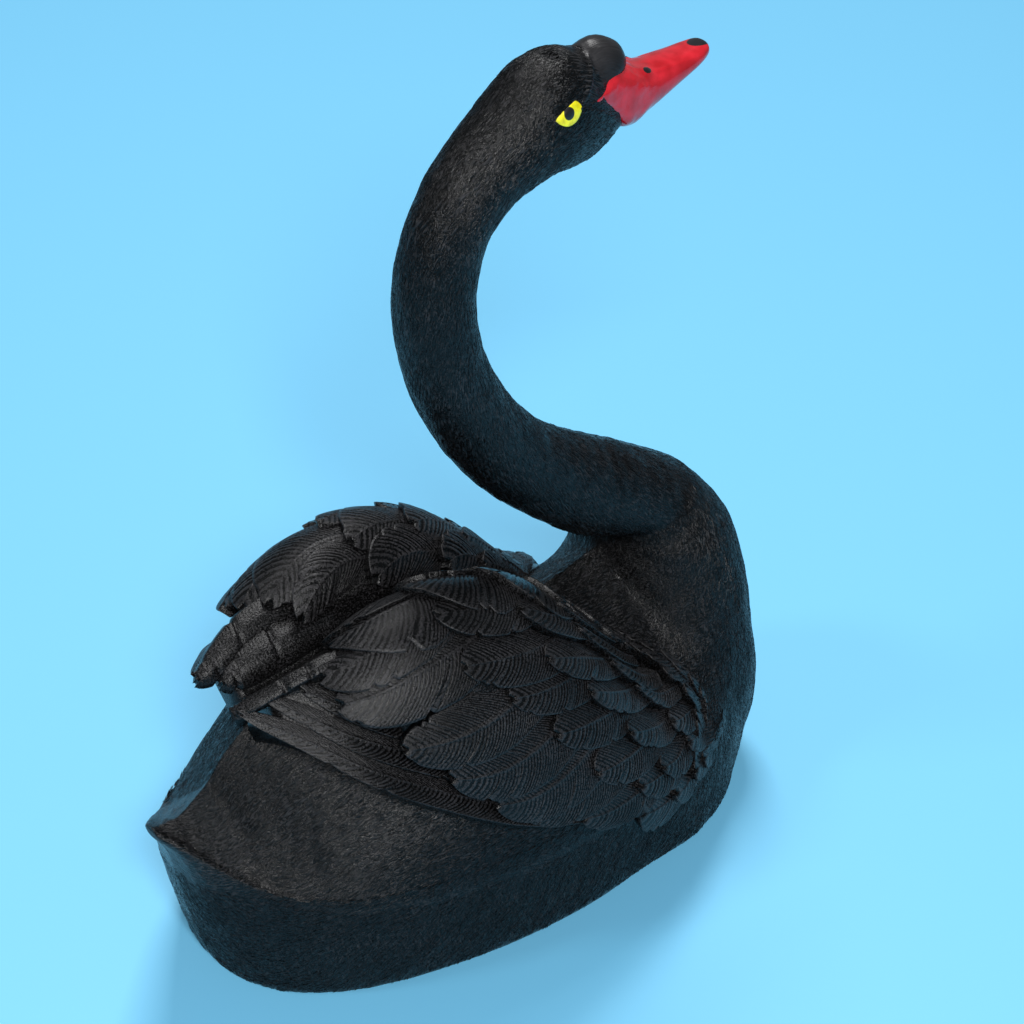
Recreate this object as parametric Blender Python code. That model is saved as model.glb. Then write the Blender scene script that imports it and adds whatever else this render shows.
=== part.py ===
"""A swimming black swan, cast in one piece of resin.

The swan faces +X and rests on the XY plane, with +Z up and its middle on the XZ plane. One skin
runs from the tail over the body, breast and S-shaped neck to the head. The beak, the knob on the
forehead, the eyes and the two folded wings with their feathers are joined to it into one solid.
The tables are drawn in millimetres for a swan of the drawn size, and are brought to the swan's own
size, in metres, where a mesh is made.
"""
import math

import bmesh
import bpy
import numpy as np

MM = 0.001

# Length, width and height of the swan, and the size that the tables below are drawn for.
SWAN_LENGTH = 216
SWAN_WIDTH = 126
SWAN_HEIGHT = 258
DRAWN_SIZE = (216, 126, 258)

# Sections of the skin from tail to head, one line each: X and Z of the widest point, lean of the
# section from upright towards the tail in degrees, size towards the back, size towards the belly,
# half width, fullness of the back half and of the belly half. Fullness 2 is an ellipse, less is
# pinched and more is square. What would reach below the ground is cut off flat.
TAIL_SECTIONS = (
    (-101, 59.5, 0, 1.2, 1.5, 2.5, 1.6, 2.0),
    (-97, 56.5, 0, 3.2, 5, 7.5, 1.2, 2.0),
    (-94, 53.8, 0, 6, 12, 11, 1.1, 2.0),
    (-91.2, 51.2, 0, 8.5, 25, 14, 1.0, 2.2),
    (-86.6, 47, 0, 15.5, 38, 19, 0.95, 2.3),
    (-80.6, 43, 0, 24.5, 53, 25.5, 0.95, 2.4),
    (-73, 39.5, 0, 36, 59, 32.5, 1.05, 2.7),
)
BODY_SECTIONS = (
    (-58, 37, 0, 48, 57, 42, 1.3, 3.2),
    (-35, 35, 0, 54, 53, 49.5, 1.7, 3.8),
    (-8, 35, 0, 54, 53, 54.5, 1.9, 4.0),
    (18, 35, 0, 50.5, 53, 56, 1.8, 4.0),
    (42, 36, 0, 43.5, 54, 54, 1.2, 4.0),
)

# Sections of the breast, which fan out from the crook behind the neck: lean, distance from the
# crook to the widest point and to the belly, half width, and the two fullnesses.
CROOK_AT = (63.5, 88.5)
CROOK_FILLET = 4.5
BREAST_SECTIONS = (
    (2, 52.4, 107.4, 52.3, 1.08, 3.8),
    (12, 52.5, 105.2, 48.4, 1.15, 3.3),
    (23, 52.5, 98.8, 41.2, 1.4, 2.7),
    (36, 48.3, 86.2, 35.5, 1.75, 2.6),
    (50, 40.4, 67.5, 31, 1.95, 2.3),
    (66, 32.5, 56.3, 28, 2.0, 2.1),
    (82, 26.3, 49.3, 25.2, 2.0, 2.0),
    (100, 22.3, 40.8, 21, 2.0, 2.0),
    (117, 19.6, 35.3, 17.6, 2.0, 2.0),
)
NECK_SECTIONS = (
    (63, 108.5, 134, 16, 14.8, 15.3, 2.0, 2.0),
    (48, 119.5, 141, 15, 13, 13.4, 2.0, 2.0),
    (32, 133, 138, 13.8, 11.8, 12.2, 2.0, 2.0),
    (18.5, 149.5, 127, 12.8, 11.8, 12, 2.0, 2.0),
    (8.7, 167.5, 112, 11.8, 11.8, 11.8, 2.0, 2.0),
    (4, 185, 98, 11.6, 11.6, 11.6, 2.0, 2.0),
    (4, 202, 80, 11.4, 11.4, 11.4, 2.0, 2.0),
    (9, 217, 59, 11.3, 11.3, 11.3, 2.0, 2.0),
    (18, 228, 39, 12, 12, 11.8, 2.0, 2.0),
)
HEAD_SECTIONS = (
    (28, 235, 20, 13.4, 14, 13, 2.0, 2.0),
    (38, 240, 6, 16.7, 16.8, 13.8, 2.1, 2.0),
    (48, 241, 0, 17.3, 18, 12.7, 2.2, 2.0),
    (57, 239.5, -4, 14, 16, 10.2, 2.2, 2.0),
    (65, 238, -8, 9.5, 11.5, 7.8, 2.0, 2.0),
    (71, 237, -8, 4.5, 6, 4.5, 2.0, 2.0),
)
SKIN_SIDE_COUNT = 20
NECK_STEP_COUNT = 2
BODY_STEP_COUNT = 1
GROUND_REACH = 1.4

# The beak: X, top, bottom and half width of each section.
BEAK_SECTIONS = (
    (49, 246.5, 243.5, 10.0),
    (52.5, 247.3, 243.3, 11.2),
    (56, 249.5, 241.0, 10.7),
    (61, 251.0, 235.0, 10.0),
    (67, 247.8, 228.5, 9.3),
    (77, 245.5, 230.5, 7.8),
    (88, 245, 235, 6.4),
    (95.5, 245.2, 238.5, 5.4),
    (99.8, 245.4, 241, 3.8),
    (101.4, 244.6, 242.4, 1.6),
)
BEAK_FULLNESS = 2.3
BEAK_SIDE_COUNT = 12
NOSTRIL_AT = (76, 7.2, 241.5)
NOSTRIL_SIZE = (2.6, 2.4, 1.1)

KNOB_AT = (60, 0, 248.3)
KNOB_SIZE = (9.8, 7.8, 9.4)

EYE_AT = (40, 12.2, 245)
EYE_SIZE = (3.5, 1.9, 2.6)

# Outline of a folded wing. Along X: height and distance from the middle of its ridge, then of its
# lower edge. The wing's surface is rounded between the two, and t runs from 0 at the ridge to 1
# at the lower edge, and below 0 down the inner side towards the swan's back.
WING_RIDGE = (
    (-77, 94, 12), (-57, 100.5, 17), (-46, 106.8, 19.3), (-30, 113.8, 20), (-12, 114.3, 20), (4, 110, 20),
    (20, 100.5, 19), (36, 85, 18), (50, 70.8, 20), (63, 63.5, 26), (72, 55, 32), (77, 46, 37),
)
WING_LOWER_EDGE = (
    (-77, 95.5, 11), (-65, 88, 24), (-52, 78, 38.5), (-32, 64.3, 49.5), (-7, 49.6, 57.7), (14, 41, 60.5),
    (36, 34, 60), (58, 30, 54), (72, 33, 45), (77, 44, 38),
)
WING_SWELL = 1.0
WING_FALL = 1.25
INNER_SLOPE_FALL = 16
INNER_SLOPE_END = 4
WING_CORE_DEPTH = 0.6
WING_CORE_FROM = -40
WING_CORE_TO = 76
WING_CORE_TAPER = 8
WING_CORE_TAPER_LENGTH = 30
WING_CORE_RING_COUNT = 9
WING_CORE_TURNS = (-0.8, -0.4, 0.0, 0.35, 0.65, 0.88)
WING_CORE_FOOT = 4
WING_CORE_INSIDE = 10

# The primaries, the long feathers under the rest, lie on a slope of their own that starts at the
# wing's lower edge, where t is 1, and rises inwards to t = 0.
PRIMARY_SLOPE = 45
PRIMARY_SLOPE_ANGLE = 49
PRIMARY_CREST = (
    (-77, 96, 12), (-69, 99, 14.5), (-60, 102.5, 17.5), (-48, 105, 20), (-30, 104, 20), (0, 92, 19),
    (20, 80, 18), (36, 68, 18),
)
PRIMARY_HOLLOW = ((-77, 90, 2), (-66, 89, 1), (-54, 90, 1), (-40, 92, 1), (0, 86, 1), (36, 62, 1))
PRIMARY_HOLLOW_SAG = 1.3
PRIMARY_CORE_FROM = -67
PRIMARY_CORE_TO = 36
PRIMARY_CORE_TOP = ((-76, 0.95), (-69, 0.8), (-60, 0.52), (-48, 0.17), (-30, 0.1))
PRIMARY_CORE_DEPTH = 0.8
PRIMARY_CORE_RING_COUNT = 7
PRIMARY_CORE_SIDE_COUNT = 4
PRIMARY_CORE_INSIDE = (0.1, 0.5, 0.95)
PRIMARY_KEEL = 16
PRIMARY_KEEL_ASIDE = 1

# Rows of feathers: roots and tips as (X, t) on the wing, from the innermost feather to the
# outermost, then how many, their widths, lift of the root and of the tip, how far the shafts bow
# down, how round the tips are, how high the raised edge stands, and whether they have fine rings.
PRIMARIES = dict(
    roots=((4, 0.20), (24, 0.48), (36, 0.67), (42, 0.89)),
    tips=((-48, 0.32), (-59, 0.62), (-67.5, 0.84), (-75.5, 0.99)),
    count=4, width=(14, 13.5, 12.5), lift=(0.2, 1.2), bow=-1, tip_round=0.5, shingle=0.9, fine=True)
INNER_PRIMARIES = dict(
    roots=((-12, 0.3), (-20, 0.6)), tips=((-68, 0.14), (-77, 0.28)),
    count=2, width=(11, 12, 13), lift=(0.0, 1.2), bow=1, tip_round=0.5, shingle=0.9, fine=True)
SECONDARIES = dict(
    roots=((-4, -0.55), (-4, -0.20), (-2, 0.02), (4, 0.18), (14, 0.36), (22, 0.46), (30, 0.54),
           (38, 0.62), (48, 0.70), (60, 0.80)),
    tips=((-42, -0.58), (-47, -0.22), (-52, 0.06), (-52, 0.29), (-39, 0.60), (-28, 0.72),
          (-18, 0.81), (-8, 0.88), (8, 0.95), (32, 0.98)),
    count=10, width=(17, 18, 16), lift=(-1.6, 2.0), bow=5, tip_round=0.5, shingle=1.6, fine=True)
GREATER_COVERTS = dict(
    roots=((20, -0.60), (24, 0.08), (36, 0.32), (52, 0.52), (66, 0.74)),
    tips=((-16, -0.65), (-21, 0.12), (-10, 0.50), (16, 0.74), (44, 0.90)),
    count=9, width=(15, 15.8, 13), lift=(-1.2, 2.8), bow=4, tip_round=0.5, shingle=1.6, fine=False)
MEDIAN_COVERTS = dict(
    roots=((34, -0.50), (40, 0.10), (48, 0.30), (60, 0.50), (69, 0.74)),
    tips=((6, -0.65), (4, 0.10), (13, 0.44), (32, 0.64), (54, 0.86)),
    count=8, width=(12, 13, 10), lift=(-0.6, 3.0), bow=3, tip_round=0.5, shingle=1.6, fine=False)
LESSER_COVERTS = dict(
    roots=((46, -0.40), (52, 0.08), (60, 0.28), (69, 0.50), (72, 0.78)),
    tips=((24, -0.50), (23, 0.08), (33, 0.34), (48, 0.54), (62, 0.86)),
    count=8, width=(10, 11.5, 9.5), lift=(-0.4, 2.8), bow=2, tip_round=0.5, shingle=1.5, fine=False)
SHOULDER_FEATHERS = dict(
    roots=((52, -0.14), (60, 0.10), (67, 0.22), (71, 0.42), (70, 0.66), (62, 0.88)),
    tips=((35, -0.28), (44, 0.06), (54, 0.17), (62, 0.34), (65, 0.54), (60, 0.72)),
    count=7, width=(8, 9.5, 8), lift=(-0.3, 2.4), bow=1, tip_round=0.6, shingle=1.2, fine=False)
RIM_FEATHERS = dict(
    roots=((60, 0.02), (66, 0.14), (73, 0.36), (75, 0.68), (64, 0.98)),
    tips=((48, -0.04), (56, 0.08), (67, 0.26), (73, 0.54), (67, 0.86)),
    count=7, width=(6.5, 8, 7), lift=(-0.2, 1.8), bow=0.5, tip_round=0.7, shingle=0.9, fine=False)
ROWS_ON_THE_WING = (SECONDARIES, GREATER_COVERTS, MEDIAN_COVERTS, LESSER_COVERTS, SHOULDER_FEATHERS,
                    RIM_FEATHERS)

# How a fine and a plain feather are drawn: places of the rings from root to tip, and places
# across a ring from its tucked edge to its raised one.
FINE_STATIONS = (0.3, 0.65, 0.87, 0.97, 1.0)
FINE_ACROSS = (-1, 0.2, 1)
PLAIN_STATIONS = (0.4, 0.86, 1.0)
PLAIN_ACROSS = (-1, 0.3, 1)
FEATHER_CAMBER = 0.7
FEATHER_THICKNESS = 4.5
FEATHER_ROOT_WIDTH = 0.6
UNDERSIDE_WIDTH = 0.8


def curve_through(points):
    """A smooth curve through points whose first number rises: Hermite pieces with mean slopes."""
    points = np.array(points, float)
    at, values = points[:, 0], points[:, 1:]
    slopes = np.gradient(values, at, axis=0)

    def curve(x):
        x = np.clip(np.asarray(x, float), at[0], at[-1])
        after = np.clip(np.searchsorted(at, x, side="right"), 1, len(at) - 1)
        before = after - 1
        span = (at[after] - at[before])[..., None]
        u = (x - at[before])[..., None] / span
        start, end = values[before], values[after]
        rise, fall = slopes[before] * span, slopes[after] * span
        return (start * (1 + 2 * u) * (1 - u) ** 2 + rise * u * (1 - u) ** 2
                + end * u * u * (3 - 2 * u) - fall * u * u * (1 - u))
    return curve


def signed_power(value, power):
    return np.sign(value) * np.abs(value) ** power


def resampled(rows, steps):
    """Rows of numbers with steps - 1 more between each two, on a smooth curve through them all."""
    rows = np.array(rows, float)
    curve = curve_through(np.column_stack([np.arange(len(rows)), rows]))
    return curve(np.linspace(0, len(rows) - 1, (len(rows) - 1) * steps + 1))


def at_full_size(points):
    """Drawn points in metres, at the swan's own length, width and height."""
    growth = np.array([SWAN_LENGTH, SWAN_WIDTH, SWAN_HEIGHT]) / DRAWN_SIZE
    return np.array(points) * growth * MM


def lofted(name, rings, material, collection):
    """A closed solid through equal rings of points, with a flat cap on the first and last."""
    mesh = bpy.data.meshes.new(name)
    shape = bmesh.new()
    loops = [[shape.verts.new(point) for point in at_full_size(ring)] for ring in rings]
    sides = len(loops[0])
    for near, far in zip(loops, loops[1:]):
        for k in range(sides):
            n = (k + 1) % sides
            shape.faces.new((near[k], near[n], far[n], far[k]))
    shape.faces.new(loops[0][::-1])
    shape.faces.new(loops[-1])
    bmesh.ops.recalc_face_normals(shape, faces=shape.faces)
    bmesh.ops.triangulate(shape, faces=shape.faces)
    shape.to_mesh(mesh)
    shape.free()
    mesh.materials.append(material)
    solid = bpy.data.objects.new(name, mesh)
    collection.objects.link(solid)
    return solid


def rounded_section(x, z, lean, back, belly, half_width, back_fullness, belly_fullness, sides):
    """The ring of one section of the skin: two half superellipses on a leaning upright."""
    angle = np.arange(sides) * 2 * math.pi / sides
    across, along = np.cos(angle), np.sin(angle)
    upper = along > 0
    power = 2 / np.where(upper, back_fullness, belly_fullness)
    rise = signed_power(along, power) * np.where(upper, back, belly)
    lean = math.radians(lean)
    return np.column_stack([x - math.sin(lean) * rise, signed_power(across, power) * half_width,
                            z + math.cos(lean) * rise])


def breast_sections():
    """The breast's sections in the same form as the others, turned about the crook."""
    sections = []
    rows = resampled(BREAST_SECTIONS, BODY_STEP_COUNT)
    for lean, to_widest, to_belly, half_width, back_fullness, belly_fullness in rows:
        turn = math.radians(lean)
        widest = (CROOK_AT[0] + to_widest * math.sin(turn), CROOK_AT[1] - to_widest * math.cos(turn))
        sections.append((*widest, lean, to_widest - CROOK_FILLET, to_belly - to_widest, half_width,
                         back_fullness, belly_fullness))
    return sections


def swan_skin(material, collection):
    """Tail, body, breast, neck and head as one loft."""
    sections = [*resampled(TAIL_SECTIONS + BODY_SECTIONS, BODY_STEP_COUNT), *breast_sections(),
                *resampled(NECK_SECTIONS + HEAD_SECTIONS, NECK_STEP_COUNT)]
    rings = [rounded_section(*section, SKIN_SIDE_COUNT) for section in sections]
    return lofted("swan_casting", rings, material, collection)


def ground(collection):
    """A block whose top is the ground, which cuts the swan's flat base."""
    mesh = bpy.data.meshes.new("ground")
    shape = bmesh.new()
    bmesh.ops.create_cube(shape, size=1)
    bmesh.ops.translate(shape, verts=shape.verts, vec=(0, 0, -1 / 2))
    bmesh.ops.scale(shape, verts=shape.verts, vec=at_full_size(DRAWN_SIZE) * GROUND_REACH)
    shape.to_mesh(mesh)
    shape.free()
    block = bpy.data.objects.new("ground", mesh)
    collection.objects.link(block)
    return block


def beak(material, collection):
    rings = []
    for x, top, bottom, half_width in BEAK_SECTIONS:
        half_height = (top - bottom) / 2
        rings.append(rounded_section(x, bottom + half_height, 0, half_height, half_height, half_width,
                                     BEAK_FULLNESS, BEAK_FULLNESS, BEAK_SIDE_COUNT))
    return lofted("beak", rings, material, collection)


def ellipsoid(name, centre, size, material, collection, segments=10, rings=6):
    """A squashed sphere: centre and half sizes along X, Y and Z."""
    mesh = bpy.data.meshes.new(name)
    shape = bmesh.new()
    bmesh.ops.create_uvsphere(shape, u_segments=segments, v_segments=rings, radius=1)
    bmesh.ops.scale(shape, verts=shape.verts, vec=at_full_size(size))
    bmesh.ops.translate(shape, verts=shape.verts, vec=at_full_size(centre))
    shape.to_mesh(mesh)
    shape.free()
    mesh.materials.append(material)
    solid = bpy.data.objects.new(name, mesh)
    collection.objects.link(solid)
    return solid


wing_ridge = curve_through(WING_RIDGE)
wing_lower_edge = curve_through(WING_LOWER_EDGE)
primary_crest = curve_through(PRIMARY_CREST)
primary_hollow = curve_through(PRIMARY_HOLLOW)


def wing_surface(x, t):
    """Points of the right wing's surface at X and t."""
    ridge, edge = wing_ridge(x), wing_lower_edge(x)
    turn = np.pi / 2 * t
    across = signed_power(np.sin(np.abs(turn)), WING_SWELL)
    down = 1 - signed_power(np.cos(turn), WING_FALL)
    outer = t > 0
    reach = np.where(outer, ridge[..., 1] - edge[..., 1], ridge[..., 1] - INNER_SLOPE_END)
    fall = np.where(outer, ridge[..., 0] - edge[..., 0], INNER_SLOPE_FALL)
    return np.stack([x, reach * across - ridge[..., 1], ridge[..., 0] - fall * down], -1)


def primary_surface(x, t):
    """Points of the slope under the right wing's primaries at X and t."""
    edge = wing_lower_edge(x)
    slope = math.radians(PRIMARY_SLOPE_ANGLE)
    rise = (1 - t) * PRIMARY_SLOPE
    return np.stack([x, rise * math.cos(slope) - edge[..., 1], edge[..., 0] + rise * math.sin(slope)], -1)


def inner_primary_surface(x, t):
    """Points of the primaries' inner slope, from its crest at t = 0 to the hollow at t = 1."""
    crest, hollow = primary_crest(x), primary_hollow(x)
    sunk = 1 - signed_power(1 - t, PRIMARY_HOLLOW_SAG)
    height = crest[..., 0] + (hollow[..., 0] - crest[..., 0]) * sunk
    return np.stack([x, -crest[..., 1] - (hollow[..., 1] - crest[..., 1]) * t, height], -1)


def surface_frame(surface, x, t):
    """A surface's point at X and t, its outward normal, and its length per t."""
    step = 0.01
    along = (surface(x + step, t) - surface(x - step, t)) / (2 * step)
    down = (surface(x, t + step) - surface(x, t - step)) / (2 * step)
    normal = np.cross(down, along)
    normal /= np.linalg.norm(normal, axis=-1, keepdims=True)
    return surface(x, t), normal, np.linalg.norm(down, axis=-1)


def feather_rings(surface, root, tip, width, lift, bow, tip_round, shingle, fine):
    """Rings of one feather laid on a surface, from its root to its tip.

    Its shaft goes from root to tip on the (X, t) map, bowed towards the lower edge. Each ring is
    arched over the shaft and tilted like a shingle, with its lower edge raised. The part of the
    root that the next row covers is left out.
    """
    rings = []
    root, tip = np.array(root), np.array(tip)
    for s in FINE_STATIONS if fine else PLAIN_STATIONS:
        x, t = root + (tip - root) * s
        girth = surface_frame(surface, np.array(x), np.array(t))[2]
        t = t + bow * 4 * s * (1 - s) / girth
        heading = np.array([tip[0] - root[0], (tip[1] - root[1]) * girth + bow * 4 * (1 - 2 * s)])
        heading /= np.linalg.norm(heading)
        spread = FEATHER_ROOT_WIDTH + (1 - FEATHER_ROOT_WIDTH) * min(s / 0.5, 1)
        taper = max(1 - max((s - 0.5) / 0.5, 0) ** 3, 0.02) ** tip_round
        half = width / 2 * spread * taper
        across = FINE_ACROSS if fine else PLAIN_ACROSS
        j = np.array([*across, UNDERSIDE_WIDTH, -UNDERSIDE_WIDTH])
        under = np.array([0] * len(across) + [1, 1])
        height = (lift[0] + (lift[1] - lift[0]) * s + FEATHER_CAMBER * (1 - j * j) * taper
                  + shingle * j * taper - FEATHER_THICKNESS * under)
        place, normal, _ = surface_frame(surface, x + heading[1] * half * j,
                                         t - heading[0] * half * j / girth)
        rings.append(place + normal * height[:, None])
    return rings


def wing_core_rings():
    """Rings of the lump under a wing's feathers, reaching into the body and thinning to the rear."""
    rings = []
    turns = np.array(WING_CORE_TURNS)
    for x in np.linspace(WING_CORE_FROM, WING_CORE_TO, WING_CORE_RING_COUNT):
        thinner = WING_CORE_TAPER * max(1 - (x - WING_CORE_FROM) / WING_CORE_TAPER_LENGTH, 0) ** 2
        place, normal, _ = surface_frame(wing_surface, np.full(len(turns), x), turns)
        outer = place - normal * (WING_CORE_DEPTH + thinner)
        low = outer[-1]
        inner = np.array([[x, low[1] / 2, low[2] + WING_CORE_FOOT],
                          [x, -INNER_SLOPE_END, low[2] + WING_CORE_INSIDE]])
        rings.append(np.vstack([outer, inner]))
    return rings


def primary_core_rings():
    """Rings of the ridge that carries the primaries, narrow at their tips and joined to the rump."""
    rings = []
    top = curve_through(PRIMARY_CORE_TOP)
    for x in np.linspace(PRIMARY_CORE_FROM, PRIMARY_CORE_TO, PRIMARY_CORE_RING_COUNT):
        levels = np.linspace(PRIMARY_CORE_TOP[0][1], top(x)[0], PRIMARY_CORE_SIDE_COUNT)
        place, normal, _ = surface_frame(primary_surface, np.full(len(levels), x), levels)
        outer = place - normal * PRIMARY_CORE_DEPTH
        levels = np.array(PRIMARY_CORE_INSIDE)
        place, normal, _ = surface_frame(inner_primary_surface, np.full(len(levels), x), levels)
        inner = place - normal * PRIMARY_CORE_DEPTH
        keel = [x, -PRIMARY_KEEL_ASIDE, outer[0][2] - PRIMARY_KEEL]
        rings.append(np.vstack([outer, inner, keel]))
    return rings


def wing(material, collection, mirrored):
    """The solids of one wing; the left one is the right one mirrored."""
    side = np.array([1, -1, 1]) if mirrored else np.ones(3)
    name = "left_wing" if mirrored else "right_wing"
    cores = (wing_core_rings(), primary_core_rings())
    solids = []
    for rings in cores:
        solids.append(lofted(name + "_core", [ring * side for ring in rings], material, collection))
    rows = [(primary_surface, PRIMARIES), (inner_primary_surface, INNER_PRIMARIES)]
    rows += [(wing_surface, row) for row in ROWS_ON_THE_WING]
    for surface, row in rows:
        places = np.linspace(0, 1, row["count"])
        roots = resampled_at(row["roots"], places)
        tips = resampled_at(row["tips"], places)
        widths = resampled_at([(w,) for w in row["width"]], places)[:, 0]
        for root, tip, width in zip(roots, tips, widths):
            rings = feather_rings(surface, root, tip, width, row["lift"], row["bow"], row["tip_round"],
                                  row["shingle"], row["fine"])
            solids.append(lofted(name + "_feather", [ring * side for ring in rings], material, collection))
    return solids


def resampled_at(rows, places):
    """Rows read at places from 0 to 1 along a smooth curve through them."""
    rows = np.array(rows, float)
    return curve_through(np.column_stack([np.linspace(0, 1, len(rows)), rows]))(places)


def boolean(solid, operation, tools):
    change = solid.modifiers.new(operation.lower(), "BOOLEAN")
    change.operation = operation
    change.operand_type = "COLLECTION"
    change.collection = tools
    change.material_mode = "TRANSFER"


def pieces_of(shape):
    """The groups of faces of a mesh that hang together."""
    left = set(shape.faces)
    pieces = []
    while left:
        front = [left.pop()]
        piece = []
        while front:
            face = front.pop()
            piece.append(face)
            for edge in face.edges:
                for other in edge.link_faces:
                    if other in left:
                        left.remove(other)
                        front.append(other)
        pieces.append(piece)
    return pieces


def cast_in_one(solid, joined):
    """Join the solids into one casting and fill the small hollows closed off between feathers."""
    boolean(solid, "UNION", joined)
    whole = bpy.data.meshes.new_from_object(solid.evaluated_get(bpy.context.evaluated_depsgraph_get()))
    shape = bmesh.new()
    shape.from_mesh(whole)
    hollows = sorted(pieces_of(shape), key=len)[:-1]
    bmesh.ops.delete(shape, geom=[face for hollow in hollows for face in hollow], context="FACES")
    shape.to_mesh(whole)
    shape.free()
    solid.modifiers.clear()
    solid.data = whole


def finish(name, colour, roughness):
    material = bpy.data.materials.new(name)
    material.use_nodes = True
    shader = material.node_tree.nodes["Principled BSDF"]
    shader.inputs["Base Color"].default_value = (*colour, 1)
    shader.inputs["Roughness"].default_value = roughness
    shader.inputs["Metallic"].default_value = 0
    material.diffuse_color = (*colour, 1)
    return material


def new_collection(name, parent):
    collection = bpy.data.collections.new(name)
    parent.children.link(collection)
    return collection


def build():
    for leftover in list(bpy.data.objects):
        bpy.data.objects.remove(leftover)
    scene = bpy.context.scene.collection
    swan = new_collection("swan_figurine", scene)
    joined = new_collection("joined_solids", scene)
    cut_out = new_collection("cutters", scene)

    black = finish("black_resin", (0.012, 0.012, 0.014), 0.45)
    red = finish("red_enamel", (0.55, 0.02, 0.03), 0.15)
    yellow = finish("yellow_enamel", (0.75, 0.62, 0.02), 0.3)

    skin = swan_skin(black, swan)
    beak(red, joined)
    ellipsoid("knob", KNOB_AT, KNOB_SIZE, black, joined, segments=12, rings=8)
    for side in (-1, 1):
        flip = np.array([1, side, 1])
        ellipsoid("eye", EYE_AT * flip, EYE_SIZE, yellow, joined)
        ellipsoid("nostril", NOSTRIL_AT * flip, NOSTRIL_SIZE, black, cut_out)
        wing(black, joined, mirrored=side > 0)
    ground(cut_out)
    for tool in list(joined.objects) + list(cut_out.objects):
        tool.hide_render = True
        tool.display_type = "WIRE"
    cast_in_one(skin, joined)
    boolean(skin, "DIFFERENCE", cut_out)


build()
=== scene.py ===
import math

import bpy
import numpy as np
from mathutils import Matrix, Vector


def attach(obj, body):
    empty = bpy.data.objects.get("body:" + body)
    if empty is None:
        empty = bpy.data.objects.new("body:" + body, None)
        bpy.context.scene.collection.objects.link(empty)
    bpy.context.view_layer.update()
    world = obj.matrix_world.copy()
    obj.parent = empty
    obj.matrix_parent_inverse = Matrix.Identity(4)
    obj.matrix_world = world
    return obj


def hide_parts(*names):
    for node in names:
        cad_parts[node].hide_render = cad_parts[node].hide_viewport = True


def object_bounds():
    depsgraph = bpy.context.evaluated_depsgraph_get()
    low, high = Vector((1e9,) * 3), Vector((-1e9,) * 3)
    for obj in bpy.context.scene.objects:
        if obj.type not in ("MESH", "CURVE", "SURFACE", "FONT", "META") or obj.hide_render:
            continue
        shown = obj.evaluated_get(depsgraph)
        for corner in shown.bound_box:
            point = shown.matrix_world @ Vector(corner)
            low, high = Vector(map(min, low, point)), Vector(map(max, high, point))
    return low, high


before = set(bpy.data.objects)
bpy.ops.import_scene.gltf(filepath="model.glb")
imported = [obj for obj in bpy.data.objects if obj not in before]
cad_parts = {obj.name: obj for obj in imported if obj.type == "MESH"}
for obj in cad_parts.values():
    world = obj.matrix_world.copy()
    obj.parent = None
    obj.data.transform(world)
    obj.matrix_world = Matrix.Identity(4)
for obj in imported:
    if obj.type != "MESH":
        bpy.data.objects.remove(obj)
cad_box = [list(corner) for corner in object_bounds()]


# The casting's skin: tail, body, breast, neck and head of one poured resin casting. It comes out of
# a rubber mould with the carver's short strokes of down all over it, and stands on its ground face.
MM = 0.001

# The CAD's box in millimetres, and how far inside it every point stays.
BOX_LOW, BOX_HIGH = (np.array(corner) / MM for corner in cad_box)
BOX_MARGIN = 0.02

# X and Z of each section's widest point, lean in degrees, size to the back and to the belly, half
# width, and fullness of the back and belly halves, in millimetres. Fullness 2 is an ellipse. They
# are the CAD's rows, but for the last two of the head, which lie inside the beak.
BODY_SECTIONS = (
    (-101, 59.5, 0, 1.2, 1.5, 2.5, 1.6, 2.0),
    (-97, 56.5, 0, 3.2, 5, 7.5, 1.2, 2.0),
    (-94, 53.8, 0, 6, 12, 11, 1.1, 2.0),
    (-91.2, 51.2, 0, 8.5, 25, 14, 1.0, 2.2),
    (-86.6, 47, 0, 15.5, 38, 19, 0.95, 2.3),
    (-80.6, 43, 0, 24.5, 53, 25.5, 0.95, 2.4),
    (-73, 39.5, 0, 36, 59, 32.5, 1.05, 2.7),
    (-58, 37, 0, 48, 57, 42, 1.3, 3.2),
    (-35, 35, 0, 54, 53, 49.5, 1.7, 3.8),
    (-8, 35, 0, 54, 53, 54.5, 1.9, 4.0),
    (18, 35, 0, 50.5, 53, 56, 1.8, 4.0),
    (42, 36, 0, 43.5, 54, 54, 1.2, 4.0),
)

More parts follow.
